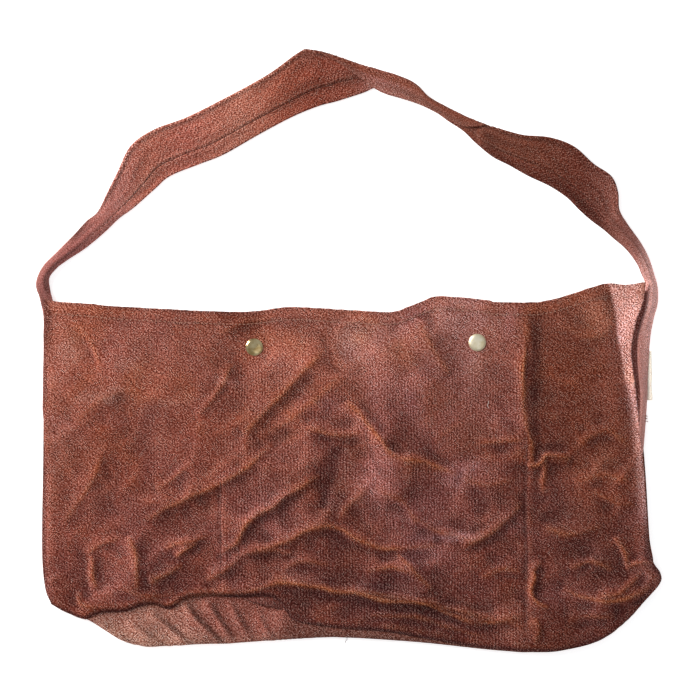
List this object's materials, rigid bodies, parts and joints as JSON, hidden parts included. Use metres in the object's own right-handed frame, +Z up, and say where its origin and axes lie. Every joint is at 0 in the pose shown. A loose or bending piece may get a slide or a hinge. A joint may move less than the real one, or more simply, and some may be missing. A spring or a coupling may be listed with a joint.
{
  "type": "mail sack",
  "caption": "Soft cloth shoulder mail sack lying flat: front and back panels joined by a folded gusset, a wide shoulder strap, ring-spring snaps at the mouth and an inner patch pocket.",
  "frame": {"origin": "on the surface that the sack lies on, under the middle of its whole outline, strap included", "axes": "+X across the sack to its right, seen from the front; +Y from the bottom towards the strap; +Z up, out of the front panel"},
  "size_m": [0.5376, 0.5153, 0.0112],
  "materials": {
    "panel_cloth": "coarse, worn weave",
    "gusset_cloth": "coarse, paler weave",
    "strap_cloth": "coarse, worn weave",
    "thread": "matt thread",
    "label": "plain woven tape",
    "snap_brass": "aged, satin",
    "spring_wire": "drawn wire"
  },
  "bodies": {
    "back": {"back_panel": "panel_cloth", "left_gusset": "gusset_cloth", "right_gusset": "gusset_cloth", "bottom_gusset": "gusset_cloth", "strap_left_end": "strap_cloth", "strap_right_end": "strap_cloth", "back_hem_thread": "thread", "left_bartack_thread": "thread", "right_bartack_thread": "thread", "label_tab": "label", "left_snap_stud": "snap_brass", "left_snap_post": "snap_brass", "right_snap_stud": "snap_brass", "right_snap_post": "snap_brass"},
    "front": {"front_panel": "panel_cloth", "inner_pocket": "panel_cloth", "front_hem_thread": "thread", "pocket_thread": "thread", "left_snap_cap": "snap_brass", "left_snap_socket": "snap_brass", "left_snap_spring": "spring_wire", "right_snap_cap": "snap_brass", "right_snap_socket": "snap_brass", "right_snap_spring": "spring_wire"},
    "strap": {"strap": "strap_cloth", "strap_seam_thread": "thread"}
  },
  "joints": [
    {"name": "mouth_open", "type": "hinge", "parent": "back", "child": "front", "pos_m": [0, -0.2583, 0.0073], "axis": [1, 0, 0], "range_deg": [0, 15]},
    {"name": "strap_swing", "type": "hinge", "parent": "back", "child": "strap", "pos_m": [0, 0.0548, 0.012], "axis": [0.9992, 0.04, 0], "range_deg": [0, 95]}
  ]
}
